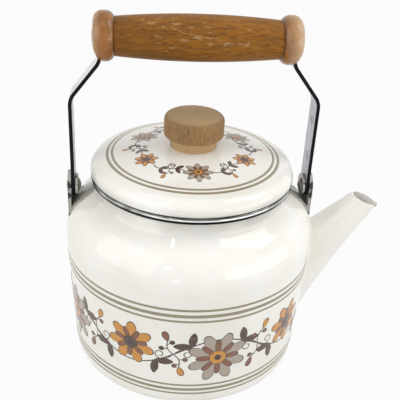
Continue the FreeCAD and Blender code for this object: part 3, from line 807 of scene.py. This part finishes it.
class KETTLE_OT_rings(bpy.types.Operator):
    """Print the plain rings on the body and the lid"""

    bl_idname = "kettle.rings"
    bl_label = "Rings"

    # Height or radius of the middle of each ring, and half its width
    body_lines = ((79.0, 0.8), (74.6, 1.15), (70.6, 0.75), (18.9, 0.7), (15.2, 1.05), (11.8, 0.65))
    lid_lines = ((54.3, 0.85), (51.2, 0.75))
    turns = 240

    def ring(self, name, section, ink, body):
        """Closed band: each point of its section, a reach and a height, is carried round the axis."""
        a = np.linspace(0.0, 2 * np.pi, self.turns, endpoint=False)
        reach, height = np.array(section).T
        points = [np.outer(np.cos(a), reach), np.outer(np.sin(a), reach),
                  np.broadcast_to(height, (self.turns, len(section)))]
        faces = grid_faces(self.turns, len(section))[:, ::-1]
        new_piece(name, np.stack(points, -1).reshape(-1, 3), faces, [ink], body)

    def execute(self, context):
        ink = screen_print("taupe ring ink", context.scene.kettle_enamel.stripe)
        for k, (height, half) in enumerate(self.body_lines):
            low, high = height - half, height + half
            edges = ((low, PRINT_LIFT), (high, PRINT_LIFT), (high, PRINT_ROOT), (low, PRINT_ROOT))
            section = [(wall_radius(level) + lift, level) for level, lift in edges]
            self.ring("body_ring_%d" % (k + 1), section, ink, "kettle")
        for k, (radius, half) in enumerate(self.lid_lines):
            near, far = radius - half, radius + half
            edges = ((far, PRINT_LIFT), (near, PRINT_LIFT), (near, PRINT_ROOT), (far, PRINT_ROOT))
            section = [(reach, on_dome(np.array([reach, 0.0]), lift)[2]) for reach, lift in edges]
            self.ring("lid_ring_%d" % (k + 1), section, ink, "lid")
        return {"FINISHED"}


class KETTLE_OT_ornament(bpy.types.Operator):
    """Print a running vine of daisies on the body and a wreath of daisies on the lid"""

    bl_idname = "kettle.ornament"
    bl_label = "Ornament"

    spout_gap = math.radians(21.0)
    vine_points, vine_end = 560, 4.0
    daisy_drop, daisy_turns = 3.0, (0.2, 0.3)
    leaf, spray, tendril = 10.5, 11.0, 26.0
    curl_angles = (2.3, -0.8)
    wreath_daisies = 6
    wreath_points, wreath_gap, wreath_swing = 24, 0.2, 2.0
    lid_leaf, lid_spray, lid_tendril = 5.0, 6.0, 13.0
    lid_leaf_places, lid_knot, lid_curl_angle = (7, 16), 12, 2.4

    # Share of a wave from the crest and angle of each leaf pair, and angle and inks of each spray
    leaf_places = ((-0.15, 2.3), (0.15, 0.84))
    sprays = ((1.25, (INK_OCHRE, INK_BROWN)), (-1.9, (INK_BROWN, INK_LEAF)))

    # Petals, share of the full size and inks of the two kinds of daisy
    body_kinds = ((8, 1.0, TAUPE_DAISY), (7, 0.82, OCHRE_DAISY))
    lid_kinds = ((8, 1.0, TAUPE_DAISY), (7, 0.8, OCHRE_DAISY))

    def body_vine(self, settings, inks):
        """Sine wave right round the body, open at the spout, with a daisy in each bend."""
        ink_print = Print(on_wall)
        width = settings.line_width
        reach = wall_radius(PRINT_MIDDLE)
        first = reach * (-1.5 * math.pi + self.spout_gap)
        last = reach * (0.5 * math.pi - self.spout_gap)
        wave = (last - first) / settings.waves

        def vine(across):
            height = PRINT_MIDDLE + settings.swing * np.sin(2 * np.pi * (across - first) / wave)
            return np.stack([across, height], -1)

        across = np.linspace(first + self.vine_end, last - self.vine_end, self.vine_points)
        ink_print.stem(vine(across), width * 1.6, INK_LINE, 0)
        for k in range(2 * settings.waves):
            crest = first + wave * (0.25 + 0.5 * k)
            up = 1 if k % 2 == 0 else -1
            point = np.array([crest, PRINT_MIDDLE - up * self.daisy_drop])
            petals, share, daisy_inks = self.body_kinds[k % 2]
            tilt = self.daisy_turns[k % 2] * k
            daisy(ink_print, point, settings.blossom * share, petals, tilt, daisy_inks, width)
            for shift, angle in self.leaf_places:
                leaf_pair(ink_print, vine(crest + shift * wave), up * angle, self.leaf, width)
            if k < 2 * settings.waves - 1:
                knot = vine(crest + 0.25 * wave)
                for angle, spray_inks in self.sprays:
                    berry_spray(ink_print, knot, up * angle, self.spray, spray_inks, width)
                for angle in self.curl_angles:
                    curl(ink_print, knot, up * angle, self.tendril, up, width)
        ink_print.piece("body_vine", inks, "kettle")

    def lid_wreath(self, settings, inks):
        """Circle on the lid with a daisy at each sixth, and leaves, a bud and two curls between them."""
        ink_print = Print(on_dome)
        width = settings.line_width
        fine, finer = width * 0.8, width * 0.7
        step = 2 * math.pi / self.wreath_daisies
        sway = self.wreath_swing * np.sin(np.linspace(0, 2 * np.pi, self.wreath_points))
        for k in range(self.wreath_daisies):
            middle = -math.pi / 2 + step * k
            petals, share, daisy_inks = self.lid_kinds[k % 2]
            arc = middle + np.linspace(self.wreath_gap, step - self.wreath_gap, self.wreath_points)
            stem = (settings.lid_circle + sway)[:, None] * np.stack([np.cos(arc), np.sin(arc)], -1)
            ink_print.stem(stem, width * 1.3, INK_LINE, 0)
            point = settings.lid_circle * heading(middle)
            daisy(ink_print, point, settings.lid_blossom * share, petals, middle, daisy_inks, finer)
            for place in self.lid_leaf_places:
                leaf_pair(ink_print, stem[place], arc[place] + math.pi / 2, self.lid_leaf, finer)
            knot, angle = stem[self.lid_knot], arc[self.lid_knot]
            berry_spray(ink_print, knot, angle, self.lid_spray, (INK_OCHRE, INK_BROWN), fine)
            for hand in (1, -1):
                curl(ink_print, knot, angle + hand * self.lid_curl_angle, self.lid_tendril, hand, fine)
        ink_print.piece("lid_wreath", inks, "lid")

    def execute(self, context):
        tints = context.scene.kettle_enamel
        settings = context.scene.kettle_print
        inks = [screen_print(name + " ink", getattr(tints, name))
                for name in ("line", "brown", "ochre", "taupe", "leaf")]
        self.body_vine(settings, inks)
        self.lid_wreath(settings, inks)
        return {"FINISHED"}


class KETTLE_OT_fillet(bpy.types.Operator):
    """Run the enamelled weld fillet round the root of the spout"""

    bl_idname = "kettle.fillet"
    bl_label = "Spout fillet"

    size = 4.0
    bite, tuck = 0.5, 0.1
    turns, steps = 180, 9
    search_end, halvings = 40.0, 40

    def execute(self, context):
        """Curve from the wall to the spout round their common corner, closed by an edge inside the corner.

        The corner is found by halving, and the curve is (1 - s)^2 wall + 2 s (1 - s) corner + s^2 spout.
        """
        turn = np.linspace(0.0, 2 * np.pi, self.turns, endpoint=False)
        low, high = np.full(self.turns, SPOUT_TAIL), np.full(self.turns, self.search_end)
        for halving in range(self.halvings):
            middle = (low + high) / 2
            out = outside_wall(spout_point(middle, turn)) > 0
            low, high = np.where(out, low, middle), np.where(out, middle, high)
        corner = spout_point(high, turn)
        on_spout = spout_point(high + self.size, turn)
        away = on_spout - corner
        away /= np.linalg.norm(away, axis=1)[:, None]
        outward = corner * np.array([1.0, 1.0, 0.0])
        outward /= np.linalg.norm(outward, axis=1)[:, None]
        sideways = corner - corner.mean(0)
        sideways -= (sideways * outward).sum(1)[:, None] * outward
        sideways /= np.linalg.norm(sideways, axis=1)[:, None]
        on_shell = on_body(corner + sideways * self.size)
        share = np.linspace(0.0, 1.0, self.steps)[:, None, None]
        curve = (1 - share) ** 2 * on_shell + 2 * share * (1 - share) * corner + share ** 2 * on_spout
        inner = corner - outward * self.bite - away * self.tuck
        points = np.concatenate([curve, inner[None]]).reshape(-1, 3)
        enamel = list(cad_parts["spout"].data.materials)
        new_piece("spout_fillet", points, grid_faces(self.steps + 1, self.turns), enamel, "kettle")
        return {"FINISHED"}


class KETTLE_OT_stage(bpy.types.Operator):
    """Set the floor, the lamps, the world and the camera"""

    bl_idname = "kettle.stage"
    bl_label = "Stage"

    # Name, place in metres, width, height and watts of each lamp
    lamps = (
        ("ceiling softbox", (-0.30, -0.20, 1.20), 1.0, 1.0, 0.8),
        ("left softbox", (-1.00, -0.50, 0.60), 1.3, 1.2, 6.3),
        ("upper window", (0.55, -0.04, 0.84), 0.36, 0.58, 1.9),
        ("lower window", (0.76, -0.50, 0.23), 1.10, 0.40, 2.7),
        ("far lamp", (-0.18, -0.20, 1.05), 0.03, 0.025, 0.025),
        ("near lamp", (-0.38, -0.85, 0.53), 0.09, 0.09, 0.22),
        ("low lamp", (-0.25, -0.94, 0.05), 0.08, 0.06, 0.12),
    )
    lamp_aim = Vector((0.0, 0.0, 0.1))
    floor_half, floor_drop = 6.0, 0.2 * MM
    floor_glow = 0.94
    sensor = 36.0

    def floor(self):
        """Plain pale floor just under the foot, nearly white to the camera, that keeps a soft shadow."""
        half = self.floor_half
        plan = ((-half, -half), (half, -half), (half, half), (-half, half))
        mesh = bpy.data.meshes.new("floor")
        mesh.from_pydata([(x, y, -self.floor_drop) for x, y in plan], [], [(0, 1, 2, 3)])
        material, tree = blank_material("pale floor")[:2]
        share = node(tree, "Math", {0: self.seen(tree), 1: self.floor_glow}, operation="MULTIPLY")
        paper = node(tree, "BsdfPrincipled", {"Base Color": linear("#C4C4C2"), "Roughness": 0.9})
        glow = node(tree, "Emission", {"Strength": 1.0})
        blend = node(tree, "MixShader", {0: share, 1: paper, 2: glow})
        node(tree, "OutputMaterial", {"Surface": blend})
        mesh.materials.append(material)
        floor = bpy.data.objects.new("floor", mesh)
        bpy.context.scene.collection.objects.link(floor)

    def seen(self, tree):
        """One for rays from the camera, from gloss and through glass."""
        rays = [node(tree, "LightPath", out=name)
                for name in ("Is Camera Ray", "Is Glossy Ray", "Is Transmission Ray")]
        first = node(tree, "Math", {0: rays[0], 1: rays[1]}, operation="MAXIMUM")
        return node(tree, "Math", {0: first, 1: rays[2]}, operation="MAXIMUM")

    def lamp(self, name, place, width, height, power):
        """Rectangular softbox aimed at the middle of the kettle."""
        data = bpy.data.lights.new(name, "AREA")
        data.shape = "RECTANGLE"
        data.size, data.size_y = width, height
        data.energy = power
        lamp = bpy.data.objects.new(name, data)
        lamp.location = place
        lamp.rotation_euler = (self.lamp_aim - Vector(place)).to_track_quat("-Z", "Y").to_euler()
        bpy.context.scene.collection.objects.link(lamp)

    def world(self, strength):
        """Even light, and white where the camera, gloss or glass looks past the floor."""
        world = bpy.data.worlds.new("studio")
        bpy.context.scene.world = world
        world.use_nodes = True
        tree = world.node_tree
        tree.nodes.clear()
        level = node(tree, "MapRange", {"Value": self.seen(tree), "To Min": strength, "To Max": 1.0})
        sky = node(tree, "Background", {"Color": linear("#FFFFFF"), "Strength": level})
        node(tree, "OutputWorld", {"Surface": sky})

    def camera(self, settings):
        """Camera on a circle about the aim, then turned by yaw, pitch and roll."""
        a, e = math.radians(settings.azimuth), math.radians(settings.elevation)
        back = Vector((math.sin(a) * math.cos(e), -math.cos(a) * math.cos(e), math.sin(e)))
        place = Vector((0.0, 0.0, settings.aim_height)) + back * settings.distance
        right = (-back).cross(Vector((0.0, 0.0, 1.0))).normalized()
        turned = Matrix((right, right.cross(-back), back)).transposed()
        for angle, axis in ((settings.yaw, "Y"), (settings.pitch, "X"), (-settings.roll, "Z")):
            turned = turned @ Matrix.Rotation(math.radians(angle), 3, axis)
        data = bpy.data.cameras.new("photo camera")
        data.sensor_width = self.sensor
        data.lens = settings.lens
        camera = bpy.data.objects.new("photo camera", data)
        camera.matrix_world = Matrix.Translation(place * MM) @ turned.to_4x4()
        bpy.context.scene.collection.objects.link(camera)
        bpy.context.scene.camera = camera

    def execute(self, context):
        settings = context.scene.kettle_stage
        self.floor()
        for lamp in self.lamps:
            self.lamp(*lamp)
        self.world(settings.world)
        self.camera(settings)
        context.scene.view_settings.view_transform = "Standard"
        return {"FINISHED"}


class KETTLE_PT_panel(bpy.types.Panel):
    """Lists the steps that finish the kettle"""

    bl_idname = "KETTLE_PT_panel"
    bl_label = "Kettle"
    bl_space_type = "VIEW_3D"
    bl_region_type = "UI"
    bl_category = "Kettle"

    def draw(self, context):
        for operator in OPERATORS:
            self.layout.operator(operator.bl_idname)


SETTINGS = {"kettle_enamel": KettleEnamel, "kettle_print": KettlePrint, "kettle_wood": KettleWood,
            "kettle_stage": KettleStage}
OPERATORS = (KETTLE_OT_enamel, KETTLE_OT_ear_arms, KETTLE_OT_steel, KETTLE_OT_wood, KETTLE_OT_rings,
             KETTLE_OT_ornament, KETTLE_OT_fillet, KETTLE_OT_stage)


def register():
    for made in (*SETTINGS.values(), *OPERATORS, KETTLE_PT_panel):
        bpy.utils.register_class(made)
    for name, group in SETTINGS.items():
        setattr(bpy.types.Scene, name, bpy.props.PointerProperty(type=group))


def unregister():
    for name in SETTINGS:
        delattr(bpy.types.Scene, name)
    for made in (KETTLE_PT_panel, *reversed(OPERATORS), *reversed(SETTINGS.values())):
        bpy.utils.unregister_class(made)


def main():
    register()
    for operator in OPERATORS:
        family, name = operator.bl_idname.split(".")
        getattr(getattr(bpy.ops, family), name)()


if __name__ == "__main__":
    main()
